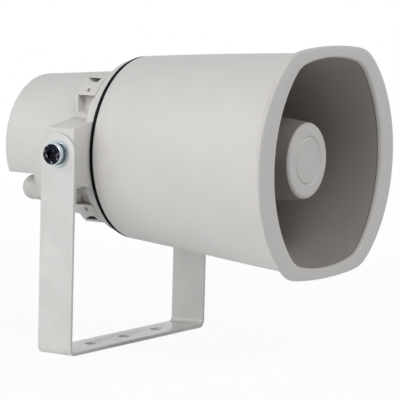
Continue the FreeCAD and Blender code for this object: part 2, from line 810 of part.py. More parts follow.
def make_voice_coil():
    front_y = driver_rear_y + film_thickness
    outer = coil_diameter
    inner = coil_diameter - 2 * coil_wall
    former = ring(outer, inner, front_y, front_y + coil_length)
    winding = ring(outer + 2 * coil_winding, inner, front_y + coil_length * 0.3,
                   front_y + coil_length * 0.95)
    return former.fuse(winding)


def make_surround():
    """Thin ring with a roll in the chamber; its outer land is held behind the cover."""
    inner = coil_diameter / 2 + coil_winding + surround_gap
    land = chamber_diameter / 2 - surround_gap / 2
    outer = chamber_diameter / 2 + surround_land
    middle = (inner + land) / 2
    roll = surround_roll
    return turned([(inner, driver_rear_y), (inner, film_rear_y), (middle, film_rear_y - roll),
                   (land, film_rear_y), (outer, film_rear_y), (outer, driver_rear_y),
                   (land, driver_rear_y), (middle, driver_rear_y - roll)])


def make_top_plate():
    return ring(plate_diameter, coil_gap_diameter, film_rear_y, plate_rear_y)


def make_magnet_ring():
    magnet = ring(magnet_diameter, magnet_bore, plate_rear_y, magnet_rear_y)
    return magnet.makeChamfer(0.8, [e for e in magnet.Edges
                                    if abs(e.Length - math.pi * magnet_diameter) < 0.1])


def make_pole_yoke():
    pole = coil_diameter - 2 * coil_wall - 2 * coil_gap
    back = disc(plate_diameter, magnet_rear_y, magnet_rear_y + yoke_thickness)
    return back.fuse(disc(pole, film_rear_y + 0.6, magnet_rear_y + 1))


# Line transformer and terminal block


def make_transformer():
    level = pivot_height + core_above_axis
    rear_y = core_front_y + core_stack
    core = block((-core_width / 2, core_front_y, level - core_height / 2),
                 (core_width / 2, rear_y, level + core_height / 2))
    inner_x = core_limb
    outer_x = core_width / 2 - core_limb
    half_window = core_height / 2 - core_limb
    cuts = []
    for side in (-1, 1):
        x_span = sorted((side * inner_x, side * outer_x))
        cuts.append(block((x_span[0], core_front_y - 1, level - half_window),
                          (x_span[1], rear_y + 1, level + half_window)))
    for x, z in core_screw_places():
        cuts.append(disc(screw_diameter + 2 * screw_clearance, core_front_y - 1, rear_y + 1, x, z))
    core = core.cut(cuts)
    gap = winding_clearance
    winding = block((-outer_x + gap, core_front_y - winding_bulge, level - half_window + gap),
                    (outer_x - gap, rear_y + winding_bulge, level + half_window - gap))
    upright = [e for e in winding.Edges if abs(e.CenterOfMass.z - level) < 0.01]
    winding = winding.makeFillet(winding_edge_radius, upright)
    limb = block((-inner_x, core_front_y, level - core_height),
                 (inner_x, rear_y, level + core_height))
    return core, winding.cut(limb)


def make_terminal_block():
    level = pivot_height - terminal_below_axis
    rear_y = notch_front_y - housing_wall
    front_y = rear_y - terminal_depth
    body = block((-terminal_width / 2, front_y, level - terminal_height / 2),
                 (terminal_width / 2, rear_y, level + terminal_height / 2))
    pitch = terminal_width / terminal_ways
    entry_front_y = front_y + terminal_clamp_depth + 0.5
    entry_top = level - terminal_height / 2 + terminal_entry_height
    cuts = []
    for index in range(terminal_ways):
        x = (index - (terminal_ways - 1) / 2) * pitch
        cuts.append(disc(pitch * 0.6, front_y - 1, front_y + terminal_clamp_depth,
                         x, terminal_clamp_rise - terminal_below_axis))
        cuts.append(block((x - pitch * 0.3, entry_front_y, level - terminal_height),
                          (x + pitch * 0.3, entry_front_y + terminal_entry_depth, entry_top)))
    cuts.append(disc(screw_diameter + 2 * screw_clearance, front_y - 1, rear_y + 1,
                     0, -terminal_below_axis))
    return body.cut(cuts)


# Cable glands, made on the +X side and mirrored


def make_gland():
    x = gland_offset
    z = -gland_below_axis
    wall_rear_y = notch_front_y
    wall_front_y = notch_front_y - housing_wall
    collar_rear_y = wall_rear_y + gland_collar_thickness
    nut_rear_y = collar_rear_y + 0.5 + gland_nut_length
    place = Vector(x, 0, pivot_height + z)
    collar = hexagon(gland_collar_diameter * math.sqrt(3) / 2, gland_collar_thickness, rearward)
    collar.translate(place + Vector(0, wall_rear_y, 0))
    inner_thread = disc(gland_thread_diameter, wall_front_y - locknut_thickness - 1.5,
                        wall_rear_y + 1, x, z)
    sleeve_rear_y = nut_rear_y - gland_dome_length - 1
    sleeve_diameter = gland_nut_diameter - 2 * gland_wall - 0.4
    sleeve = disc(sleeve_diameter, collar_rear_y - 1, sleeve_rear_y - gland_seal_length * 0.6, x, z)
    bore = disc(gland_bore, wall_front_y - locknut_thickness * 2, nut_rear_y, x, z)
    body = collar.fuse([inner_thread, sleeve]).cut(bore)

    shoulder_y = nut_rear_y - gland_dome_length
    half = gland_nut_diameter / 2
    mouth = gland_bore / 2 + 0.5
    points = [Vector(x + mouth, collar_rear_y + 0.5, place.z),
              Vector(x + half, collar_rear_y + 0.5, place.z),
              Vector(x + half, shoulder_y, place.z),
              Vector(x + mouth, nut_rear_y, place.z)]
    bulge = Vector(x + mouth + (half - mouth) * 0.78, shoulder_y + gland_dome_length * 0.66, place.z)
    edges = [Part.makeLine(points[0], points[1]), Part.makeLine(points[1], points[2]),
             Part.Arc(points[2], bulge, points[3]).toShape(), Part.makeLine(points[3], points[0])]
    nut = Part.Face(Part.Wire(edges)).revolve(place, rearward, 360)
    flats = hexagon(gland_nut_flats, gland_nut_flats_length, rearward)
    flats.translate(place + Vector(0, collar_rear_y + 0.5, 0))
    chamber = disc(sleeve_diameter + 0.4, collar_rear_y, shoulder_y - 0.5, x, z)
    nut = nut.fuse(flats).cut([chamber, bore])

    seal_front_y = sleeve_rear_y - gland_seal_length * 0.6
    seal = ring(sleeve_diameter, gland_bore - 1.0, seal_front_y, shoulder_y - 0.5, x, z)
    locknut = hexagon(locknut_width, locknut_thickness, rearward)
    locknut.translate(place + Vector(0, wall_front_y - locknut_thickness, 0))
    locknut = locknut.cut(disc(gland_thread_diameter + 0.1, wall_front_y - 2 * locknut_thickness,
                               wall_rear_y, x, z))
    return body, nut, seal, locknut


def make_screw_groups():
    groups = {}
    groups["housing_screws"] = [screw(x, z, housing_screw_seat_y, housing_screw_length, forward)
                                for x, z in housing_screw_places()]
    seat = driver_front_y + driver_flange_thickness
    length = seat - shell_wall_front_y - 1
    groups["driver_screws"] = [screw(x, z, seat, length, forward)
                               for x, z in around_axis(driver_screw_circle_diameter, 4)]
    seat = tube_flange_rear_y - screw_head_height
    length = seat - (shell_wall_front_y - flare_hub_depth) - 2
    groups["throat_screws"] = [screw(x, z, seat, length, forward)
                               for x, z in around_axis(throat_screw_circle_diameter, 3)]
    reflector_length = cup_end_wall - reflector_screw_sink + fixing_screw_grip
    core_length = core_stack + fixing_screw_grip
    groups["reflector_screws"] = [screw(x, z, reflector_screw_seat_y, reflector_length, rearward)
                                  for x, z in around_axis(post_circle_diameter, reflector_screw_count)]
    groups["transformer_screws"] = [screw(x, z, core_front_y, core_length, rearward)
                                    for x, z in core_screw_places()]
    return groups


def both_sides(shape):
    return Part.makeCompound([shape, mirrored(shape)])


def main():
    os.makedirs("parts", exist_ok=True)
    save("bracket", make_bracket())
    bolt, spring, washer, insert = make_pivot_hardware()
    save("pivot_bolts", both_sides(bolt))
    save("spring_washers", both_sides(spring))
    save("plain_washers", both_sides(washer))
    save("pivot_inserts", both_sides(insert))
    save("bell_shell", make_bell_shell())
    save("horn_flare", make_horn_flare())
    save("throat_tube", make_throat_tube())
    save("reflector_cup", make_reflector_cup())
    save("reflector_cap", make_reflector_cap())
    save("body_gasket", make_body_gasket())
    save("rear_housing", make_rear_housing())
    save("throat_seal", ring(driver_seal_diameter, tube_bore, tube_flange_rear_y, driver_front_y))
    save("driver_cover", make_driver_cover())
    save("phase_plug", make_phase_plug())
    save("diaphragm_dome", make_diaphragm())
    save("voice_coil", make_voice_coil())
    save("diaphragm_surround", make_surround())
    save("top_plate", make_top_plate())
    save("magnet_ring", make_magnet_ring())
    save("pole_yoke", make_pole_yoke())
    core, winding = make_transformer()
    save("transformer_core", core)
    save("transformer_winding", winding)
    save("terminal_block", make_terminal_block())
    body, nut, seal, locknut = make_gland()
    save("gland_bodies", both_sides(body))
    save("gland_nuts", both_sides(nut))
    save("gland_seals", both_sides(seal))
    save("gland_locknuts", both_sides(locknut))
    for node, screws in make_screw_groups().items():
        save(node, Part.makeCompound(screws))


main()
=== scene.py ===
"""Looks of a horn loudspeaker on a tilting U-bracket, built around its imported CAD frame."""

import json
import math

import bmesh
import bpy
from bpy.props import FloatProperty, FloatVectorProperty, IntProperty, PointerProperty
from mathutils import Matrix, Vector


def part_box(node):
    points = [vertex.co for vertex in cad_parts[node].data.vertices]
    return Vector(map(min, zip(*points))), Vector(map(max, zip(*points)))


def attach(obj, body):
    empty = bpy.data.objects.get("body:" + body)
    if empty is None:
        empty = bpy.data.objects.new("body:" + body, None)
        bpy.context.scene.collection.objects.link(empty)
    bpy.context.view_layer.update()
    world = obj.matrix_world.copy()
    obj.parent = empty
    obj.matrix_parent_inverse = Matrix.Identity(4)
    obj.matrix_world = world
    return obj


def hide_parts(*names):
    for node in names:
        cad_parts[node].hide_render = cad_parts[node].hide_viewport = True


bl_info = {
    "name": "Horn Loudspeaker Looks",
    "version": (1, 0, 0),
    "blender": (4, 5, 0),
    "location": "View3D > Sidebar > Horn",
    "description": "Builds the bell, flare, bracket and fittings of a horn loudspeaker",
    "category": "Add Mesh",
}

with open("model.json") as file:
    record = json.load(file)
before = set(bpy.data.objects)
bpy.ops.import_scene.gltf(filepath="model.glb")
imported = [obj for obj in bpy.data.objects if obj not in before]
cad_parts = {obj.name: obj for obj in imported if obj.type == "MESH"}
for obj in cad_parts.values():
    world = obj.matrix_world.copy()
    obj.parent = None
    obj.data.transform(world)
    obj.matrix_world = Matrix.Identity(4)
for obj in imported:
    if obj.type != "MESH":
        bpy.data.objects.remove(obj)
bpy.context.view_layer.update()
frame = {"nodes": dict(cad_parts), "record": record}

AXIS_Z = sum(corner.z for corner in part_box("pivot_bolts")) / 2
BOLT_FACE_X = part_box("pivot_bolts")[1].x
BELL_LOW, BELL_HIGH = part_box("bell_shell")
FLARE_LOW, FLARE_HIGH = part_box("horn_flare")
CUP_LOW, CUP_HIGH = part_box("reflector_cup")
CAP_LOW, CAP_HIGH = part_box("reflector_cap")

# The section of the lip: how far behind the front as a share of the rim's depth, and how
# far across from the rim's outline to the mouth's
LIP_SECTION = ((0.36, 0.0), (0.20, 0.015), (0.11, 0.08), (0.06, 0.18), (0.033, 0.31),
               (0.014, 0.47), (0.003, 0.64), (0.0, 0.78), (0.02, 0.88), (0.085, 0.955),
               (0.22, 0.99))

# Name, place in metres and power in watts of each square lamp
LAMPS = (("Low left", (-2.2, 0.2, 0.35), 22.0),
         ("Rear left", (-1.5, 1.3, 1.2), 12.7),
         ("High front", (-0.5, -1.3, 2.1), 17.0),
         ("High right", (0.9, -1.6, 1.9), 10.0))
LAMP_SIZE = 1.2
LAMP_AIM = Vector((0, 0, 0.12))


# Sizes and colours that a user would change


def length(name, description, default):
    return FloatProperty(name=name, description=description, default=default, min=0.0,
                         subtype="DISTANCE", unit="LENGTH", precision=4)


def colour(name, description, default):
    return FloatVectorProperty(name=name, description=description, default=default,
                               subtype="COLOR", size=3, min=0.0, max=1.0)


class BellSettings(bpy.types.PropertyGroup):
    rim_half_width: length("Rim Half Width", "Half of the rim's width", BELL_HIGH.x)
    rim_half_height: length("Rim Half Height", "Half of the rim's height",
                            (BELL_HIGH.z - BELL_LOW.z) / 2)
    side_bulge: length("Side Bulge", "How far the sides of the rim arc outwards", 0.047)
    top_bulge: length("Top Bulge", "How far the rim's top and floor arc outwards", 0.003)
    rim_step: length("Rim Step", "How far the rim stands proud of the bell", 0.0056)
    rim_depth: length("Rim Depth", "Length of the flared rim", 0.008)
    lip_cover: length("Lip Cover", "How far the rim's lip reaches over the flare's edge", 0.0014)
    lip_depth: length("Lip Depth", "How far the lip rounds back into the mouth", 0.0036)
    rear_radius: length("Rear Radius", "Radius of the bell at its gasket", 0.0705)
    body_length: length("Body Length", "From the bell's front to its gasket", 0.164)
    wall: length("Wall", "Thickness of the bell's wall", 0.003)
    swell: FloatProperty(name="Swell", description="How convex the bell's sides are", default=0.3)
    sharpness: FloatProperty(name="Corner Sharpness", description="Higher makes tighter corners",
                             default=50.0)
    segments: IntProperty(name="Segments", description="Points around the bell", default=192)


class FlareSettings(bpy.types.PropertyGroup):
    half_width: length("Mouth Half Width", "Half of the flare's width at the rim", FLARE_HIGH.x)
    half_height: length("Mouth Half Height", "Half of the flare's height at the rim",
                        (FLARE_HIGH.z - FLARE_LOW.z) / 2)
    side_bulge: length("Side Bulge", "How far the mouth's sides arc outwards", 0.0343)
    top_bulge: length("Top Bulge", "How far the mouth's top and floor arc outwards", 0.0055)
    wall: length("Wall", "Thickness of the flare's wall", 0.0016)
    bowl_radius: length("Bowl Radius", "Radius of the round bowl behind the reflector", 0.0545)
    bowl_depth: length("Bowl Depth", "Depth of the round bowl", 0.015)
    hub_radius: length("Hub Radius", "Radius of the flare's hub", 0.032)
    hub_depth: length("Hub Depth", "Depth of the flare's hub", 0.007)
    throat_radius: length("Throat Radius", "Radius of the hole for the throat tube", 0.0126)
    growth: FloatProperty(name="Growth", description="How quickly the flare opens", default=1.1)


class FinishSettings(bpy.types.PropertyGroup):
    shell: colour("Shell", "Pale moulded plastic", (0.644, 0.629, 0.613))
    flare: colour("Flare", "Darker moulded plastic", (0.287, 0.265, 0.241))
    bracket: colour("Bracket", "Powder coat of the bracket", (0.66, 0.655, 0.64))
    gland: colour("Gland", "Plastic of the cable glands", (0.56, 0.55, 0.53))


class StageSettings(bpy.types.PropertyGroup):
    azimuth: FloatProperty(name="Azimuth", description="Camera's turn about the object",
                           default=math.radians(-57.58), subtype="ANGLE")
    elevation: FloatProperty(name="Elevation", description="Camera's height above level",
                             default=math.radians(6.2), subtype="ANGLE")
    roll: FloatProperty(name="Roll", description="Camera's roll", default=math.radians(1.48),
                        subtype="ANGLE")
    distance: length("Distance", "Camera's distance from what it looks at", 1.94196)
    lens: FloatProperty(name="Lens", description="Focal length in millimetres", default=215.24)
    target: FloatVectorProperty(name="Target", description="Point in the middle of the image",
                                default=(0.10528, 0.0, 0.10105), subtype="XYZ")
    floor: colour("Floor", "Floor and backdrop", (0.93, 0.93, 0.93))


# Outlines shared by the bell and the flare


def spaced(first, last, count):
    return [first + (last - first) * index / (count - 1) for index in range(count)]


def arc_reach(turn, reach, bulge, half_chord):
    """Distance from the axis to an arc that reaches furthest straight ahead."""
    radius = (half_chord ** 2 + bulge ** 2) / (2 * bulge)
    centre = reach - radius
    return centre * math.cos(turn) + math.sqrt(radius ** 2 - (centre * math.sin(turn)) ** 2)


def outline(angle, shape):
    """Distance from the axis to a rounded frame with arced sides, top and floor."""
    half_width, half_height, side_bulge, top_bulge, sharp = shape
    turn = math.atan2(abs(math.sin(angle)), abs(math.cos(angle)))
    side = arc_reach(turn, half_width, side_bulge, half_height - top_bulge)
    top = arc_reach(math.pi / 2 - turn, half_height, top_bulge, half_width - side_bulge)
    return (side ** -sharp + top ** -sharp) ** (-1 / sharp)


def rim_shape(bell):
    return (bell.rim_half_width, bell.rim_half_height, bell.side_bulge, bell.top_bulge,
            bell.sharpness)


def mouth_shape(flare, bell):
    return (flare.half_width, flare.half_height, flare.side_bulge, flare.top_bulge,
            bell.sharpness)


def smoothed(stations, steps):
    """Catmull-Rom points through stations, each a tuple of numbers."""
    path = []
    for index in range(len(stations) - 1):
        before = stations[max(index - 1, 0)]
        start = stations[index]
        end = stations[index + 1]
        after = stations[min(index + 2, len(stations) - 1)]
        for step in range(steps):
            t = step / steps
            path.append(tuple(
                0.5 * (2 * b + (c - a) * t + (2 * a - 5 * b + 4 * c - d) * t * t
                       + (3 * b - a - 3 * c + d) * t ** 3)
                for a, b, c, d in zip(before, start, end, after)))
    path.append(stations[-1])
    return path


def skin(stations, bell, flare, closed):
    """Mesh of rings; a station is (y, round radius, share of rim, share of mouth)."""
    count = bell.segments
    rim = rim_shape(bell)
    mouth = mouth_shape(flare, bell)
    angles = [2 * math.pi * index / count for index in range(count)]
    rims = [outline(angle, rim) for angle in angles]
    mouths = [outline(angle, mouth) for angle in angles]
    bm = bmesh.new()
    first = bmesh.ops.create_circle(bm, segments=count, radius=1.0)["verts"]
    loop = [edge for edge in bm.edges]
    verts = list(first)
    slots = {vert: index for index, vert in enumerate(verts)}
    rings = []
    for place, station in enumerate(stations):
        if place:
            grown = bmesh.ops.extrude_edge_only(bm, edges=loop)["geom"]
            old = {tuple(round(c, 9) for c in vert.co): slots[vert] for vert in verts}
            verts = [item for item in grown if isinstance(item, bmesh.types.BMVert)]
            slots = {vert: old[tuple(round(c, 9) for c in vert.co)] for vert in verts}
            loop = [item for item in grown if isinstance(item, bmesh.types.BMEdge)
                    and all(v in slots for v in item.verts)]
        y, round_radius, rim_share, mouth_share = station
        for vert in verts:
            slot = slots[vert]
            reach = round_radius + rim_share * rims[slot] + mouth_share * mouths[slot]
            vert.co = (reach * math.cos(angles[slot]), y, AXIS_Z + reach * math.sin(angles[slot]))
        rings.append(list(loop))
    if closed:
        bmesh.ops.bridge_loops(bm, edges=rings[0] + rings[-1])
    return bm


# Mesh helpers


def finish_piece(bm, name, body, nodes, material, sharp=30.0, recalc=True):
    """Turns a bmesh into a piece that stands for CAD nodes and rides on a body."""
    bmesh.ops.remove_doubles(bm, verts=bm.verts, dist=1e-6)
    if recalc:
        bmesh.ops.recalc_face_normals(bm, faces=bm.faces)
    mesh = bpy.data.meshes.new(name)
    bm.to_mesh(mesh)
    bm.free()
    mesh.shade_smooth()
    mesh.set_sharp_from_angle(angle=math.radians(sharp))
    piece = bpy.data.objects.new(name, mesh)
    bpy.context.scene.collection.objects.link(piece)
    mesh.materials.append(material)
    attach(piece, body)
    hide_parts(*nodes)
    return piece


def turned(profile, steps=128):
    """Closed mesh turned about the horn's axis from (radius, y) points."""
    bm = bmesh.new()
    verts = [bm.verts.new((radius, y, AXIS_Z)) for radius, y in profile]
    edges = [bm.edges.new(pair) for pair in zip(verts, verts[1:])]
    bmesh.ops.spin(bm, geom=verts + edges, cent=(0, 0, AXIS_Z), axis=(0, 1, 0),
                   angle=2 * math.pi, steps=steps, use_merge=True)
    bmesh.ops.remove_doubles(bm, verts=bm.verts, dist=1e-6)
    return bm


def softened_copy(node, width, segments=2, flat=0.5, sharp=35.0):
    """Copy of a CAD node's mesh with merged faces and small rounds on its sharp edges."""
    bm = bmesh.new()
    bm.from_mesh(frame["nodes"][node].data)
    bmesh.ops.remove_doubles(bm, verts=bm.verts, dist=2e-6)
    bmesh.ops.dissolve_limit(bm, angle_limit=math.radians(flat), verts=bm.verts, edges=bm.edges)
    edges = [edge for edge in bm.edges
             if len(edge.link_faces) == 2 and edge.calc_face_angle(0) > math.radians(sharp)]
    bmesh.ops.bevel(bm, geom=edges, offset=width, offset_type="OFFSET", segments=segments,
                    profile=0.5, affect="EDGES", clamp_overlap=True, material=-1)
    return bm


# Finishes


def material_base(name):
    material = bpy.data.materials.new(name)
    material.use_nodes = True
    shader = material.node_tree.nodes["Principled BSDF"]
    return material, material.node_tree, shader


def node(tree, kind, **values):
    """Adds a node; names in values are its properties or, with spaces as _, its inputs."""
    made = tree.nodes.new(kind)
    for key, value in values.items():
        if key in made.bl_rna.properties:
            setattr(made, key, value)
        else:
            made.inputs[key.replace("_", " ")].default_value = value
    return made


def object_noise(tree, scale, detail=3.0, roughness=0.55):
    place = node(tree, "ShaderNodeTexCoord")
    noise = node(tree, "ShaderNodeTexNoise", Scale=scale, Detail=detail, Roughness=roughness)
    tree.links.new(place.outputs["Object"], noise.inputs["Vector"])
    return noise.outputs["Fac"]


def ranged(tree, source, low, high, start=0.3, end=0.7):
    """Maps a pattern from start..end onto low..high."""
    scale = node(tree, "ShaderNodeMapRange")
    tree.links.new(source, scale.inputs["Value"])
    for name, value in (("From Min", start), ("From Max", end), ("To Min", low), ("To Max", high)):
        scale.inputs[name].default_value = value
    return scale.outputs["Result"]


def tinted(tree, source, first, second):
    blend = node(tree, "ShaderNodeMix", data_type="RGBA")
    tree.links.new(source, blend.inputs["Factor"])
    blend.inputs["A"].default_value = (*first, 1.0)
    blend.inputs["B"].default_value = (*second, 1.0)
    return blend.outputs["Result"]


def bumped(tree, shader, source, strength, distance):
    bump = node(tree, "ShaderNodeBump", Strength=strength, Distance=distance)
    tree.links.new(source, bump.inputs["Height"])
    tree.links.new(bump.outputs["Normal"], shader.inputs["Normal"])
    return bump


def shade(colour, factor):
    return tuple(min(channel * factor, 1.0) for channel in colour)


def moulded_plastic(name, colour, grain, roughness):
    """Textured mould finish, faintly clouded in colour and gloss."""
    material, tree, shader = material_base(name)
    clouds = object_noise(tree, 28.0, 4.0)
    fine = object_noise(tree, grain, 2.0, 0.6)
    tint = tinted(tree, ranged(tree, clouds, 0.0, 1.0), shade(colour, 0.965), shade(colour, 1.02))
    tree.links.new(tint, shader.inputs["Base Color"])
    rough = ranged(tree, clouds, roughness - 0.05, roughness + 0.07)
    tree.links.new(rough, shader.inputs["Roughness"])
    bumped(tree, shader, fine, 0.22, 0.00012)
    shader.inputs["IOR"].default_value = 1.49
    return material


def powder_coat(name, colour):
    """Baked powder paint with fine orange peel and a slightly uneven colour."""
    material, tree, shader = material_base(name)
    peel = object_noise(tree, 950.0, 2.0, 0.4)
    wide = object_noise(tree, 40.0, 3.0)
    tint = tinted(tree, ranged(tree, wide, 0.0, 1.0), shade(colour, 0.95), shade(colour, 1.03))
    tree.links.new(tint, shader.inputs["Base Color"])
    tree.links.new(ranged(tree, peel, 0.19, 0.27), shader.inputs["Roughness"])
    bumped(tree, shader, peel, 0.12, 0.0001)
    return material


def plated_metal(name, colour, roughness, scale=600.0):
    """Bright plating or bare metal with a slightly mottled tint and gloss."""
    material, tree, shader = material_base(name)
    shader.inputs["Metallic"].default_value = 1.0
    mottle = object_noise(tree, scale, 4.0)
    tint = tinted(tree, ranged(tree, mottle, 0.0, 1.0), shade(colour, 0.85), shade(colour, 1.05))
    tree.links.new(tint, shader.inputs["Base Color"])
    tree.links.new(ranged(tree, mottle, roughness - 0.08, roughness + 0.12),
                   shader.inputs["Roughness"])
    bumped(tree, shader, mottle, 0.08, 0.00005)
    return material


def within(tree, source, low, high):
    """1 where a value lies between two limits, else 0."""
    above = node(tree, "ShaderNodeMath", operation="GREATER_THAN")
    below = node(tree, "ShaderNodeMath", operation="LESS_THAN")
    both = node(tree, "ShaderNodeMath", operation="MULTIPLY")
    for test, limit in ((above, low), (below, high)):
        tree.links.new(source, test.inputs[0])
        test.inputs[1].default_value = limit
    tree.links.new(above.outputs["Value"], both.inputs[0])
    tree.links.new(below.outputs["Value"], both.inputs[1])
    return both.outputs["Value"]


def darkened_bolt(name, colour, face_x, socket_radius):
    """Zinc plating on the bolt's sides; its end faces and socket are coloured near-black, with
    lighter spots painted in as glints.
    """
    material, tree, shader = material_base(name)
    shader.inputs["Metallic"].default_value = 1.0
    place = node(tree, "ShaderNodeTexCoord")
    level = node(tree, "ShaderNodeVectorMath", operation="SUBTRACT")
    level.inputs[1].default_value = (0.0, 0.0, AXIS_Z)
    tree.links.new(place.outputs["Object"], level.inputs[0])
    axes = node(tree, "ShaderNodeSeparateXYZ")
    tree.links.new(level.outputs["Vector"], axes.inputs["Vector"])
    outward = node(tree, "ShaderNodeMath", operation="ABSOLUTE")
    tree.links.new(axes.outputs["X"], outward.inputs[0])
    across = node(tree, "ShaderNodeVectorMath", operation="MULTIPLY")
    across.inputs[1].default_value = (0.0, 1.0, 1.0)
    tree.links.new(level.outputs["Vector"], across.inputs[0])
    radius = node(tree, "ShaderNodeVectorMath", operation="LENGTH")
    tree.links.new(across.outputs["Vector"], radius.inputs[0])
    face = within(tree, outward.outputs["Value"], face_x - 0.0005, 1.0)
    socket = within(tree, radius.outputs["Value"], -1.0, socket_radius)
    black_ends_and_socket = node(tree, "ShaderNodeMath", operation="MAXIMUM")
    tree.links.new(face, black_ends_and_socket.inputs[0])
    tree.links.new(socket, black_ends_and_socket.inputs[1])
    # Lighter spots of plating on the black ends are painted glints.
    painted_glints = ranged(tree, object_noise(tree, 520.0, 2.0), 1.0, 0.45, 0.60, 0.70)
    dark = node(tree, "ShaderNodeMath", operation="MULTIPLY")
    tree.links.new(black_ends_and_socket.outputs["Value"], dark.inputs[0])
    tree.links.new(painted_glints, dark.inputs[1])
    mottle = ranged(tree, object_noise(tree, 600.0, 4.0), 0.0, 1.0)
    plating = tinted(tree, mottle, shade(colour, 0.8), shade(colour, 1.1))
    blend = node(tree, "ShaderNodeMix", data_type="RGBA")
    blend.inputs["B"].default_value = (0.012, 0.013, 0.02, 1.0)
    tree.links.new(dark.outputs["Value"], blend.inputs["Factor"])
    tree.links.new(plating, blend.inputs["A"])
    tree.links.new(blend.outputs["Result"], shader.inputs["Base Color"])
    tree.links.new(ranged(tree, mottle, 0.16, 0.3, 0.0, 1.0), shader.inputs["Roughness"])
    return material


def dull_solid(name, colour, roughness, scale=350.0, depth=0.0001, shine=0.5):
    """Rubber, ferrite, varnish and other dull solids with a mottled surface."""
    material, tree, shader = material_base(name)
    shader.inputs["Specular IOR Level"].default_value = shine
    mottle = object_noise(tree, scale, 5.0, 0.6)
    tint = tinted(tree, ranged(tree, mottle, 0.0, 1.0), shade(colour, 0.8), shade(colour, 1.2))
    tree.links.new(tint, shader.inputs["Base Color"])
    tree.links.new(ranged(tree, mottle, roughness - 0.08, roughness + 0.08),
                   shader.inputs["Roughness"])
    bumped(tree, shader, mottle, 0.3, depth)
    return material


def laminated_steel(name):
    """Stacked transformer sheets, seen as thin dark and light lines."""
    material, tree, shader = material_base(name)
    shader.inputs["Metallic"].default_value = 0.85
    place = node(tree, "ShaderNodeTexCoord")
    stripes = node(tree, "ShaderNodeTexWave", bands_direction="Y", Scale=320.0)
    stripes.inputs["Distortion"].default_value = 0.4
    tree.links.new(place.outputs["Object"], stripes.inputs["Vector"])
    tint = tinted(tree, stripes.outputs["Fac"], (0.08, 0.08, 0.085), (0.22, 0.22, 0.23))
    tree.links.new(tint, shader.inputs["Base Color"])
    shader.inputs["Roughness"].default_value = 0.5
    bumped(tree, shader, stripes.outputs["Fac"], 0.3, 0.0002)
    return material


def background_rays(tree):
    """1 for camera, glossy and transmission rays, and 0 for the light on the object."""
    path = tree.nodes.new("ShaderNodeLightPath")
    total = path.outputs["Is Camera Ray"]
    for name in ("Is Glossy Ray", "Is Transmission Ray"):
        either = node(tree, "ShaderNodeMath", operation="MAXIMUM")
        tree.links.new(total, either.inputs[0])
        tree.links.new(path.outputs[name], either.inputs[1])
        total = either.outputs["Value"]
    return total


FINISHES = {}


def finish(slot):
    """The Blender material for a slot of the record or a named part of one, made once."""
    if slot in FINISHES:
        return FINISHES[slot]
    look = bpy.context.scene.horn_finish
    makers = {
        "pale_shell": lambda: moulded_plastic("Pale moulded shell", look.shell[:], 1900.0, 0.5),
        "grey_flare": lambda: moulded_plastic("Grey moulded flare", look.flare[:], 1900.0, 0.55),
        "gland_plastic": lambda: moulded_plastic("Gland nylon", look.gland[:], 2600.0, 0.42),
        "bracket_paint": lambda: powder_coat("Bracket powder coat", look.bracket[:]),
        "zinc_steel": lambda: plated_metal("Zinc plated steel", (0.50, 0.58, 0.62), 0.22),
        "pivot_bolt": lambda: darkened_bolt("Pivot bolt steel", (0.72, 0.77, 0.82), BOLT_FACE_X,
                                            0.0048),
        # Spring washers are coloured dark as painted shade for the shadowed gap under the bolt
        # heads.
        "spring_steel": lambda: plated_metal("Spring washer painted shade", (0.13, 0.15, 0.16), 0.3),
        "brass": lambda: plated_metal("Turned brass", (0.72, 0.52, 0.24), 0.3),
        "coil_copper": lambda: plated_metal("Enamelled copper", (0.62, 0.27, 0.14), 0.3, 2500.0),
        "black_rubber": lambda: dull_solid("Black rubber", (0.004, 0.004, 0.004), 0.85, 900.0,
                                           shine=0.12),
        "dark_plastic": lambda: dull_solid("Black glass-filled plastic", (0.03, 0.03, 0.03), 0.5,
                                           1200.0),
        "diaphragm_film": lambda: dull_solid("Phenolic film", (0.30, 0.14, 0.05), 0.35, 1500.0),
        "ferrite": lambda: dull_solid("Fired ferrite", (0.035, 0.035, 0.037), 0.75, 500.0, 0.0002),
        "core_steel": lambda: laminated_steel("Laminated core steel"),
        "winding_tape": lambda: dull_solid("Varnished winding tape", (0.55, 0.36, 0.06), 0.4,
                                           700.0),
    }
    FINISHES[slot] = makers[slot]()
    return FINISHES[slot]


# Pieces


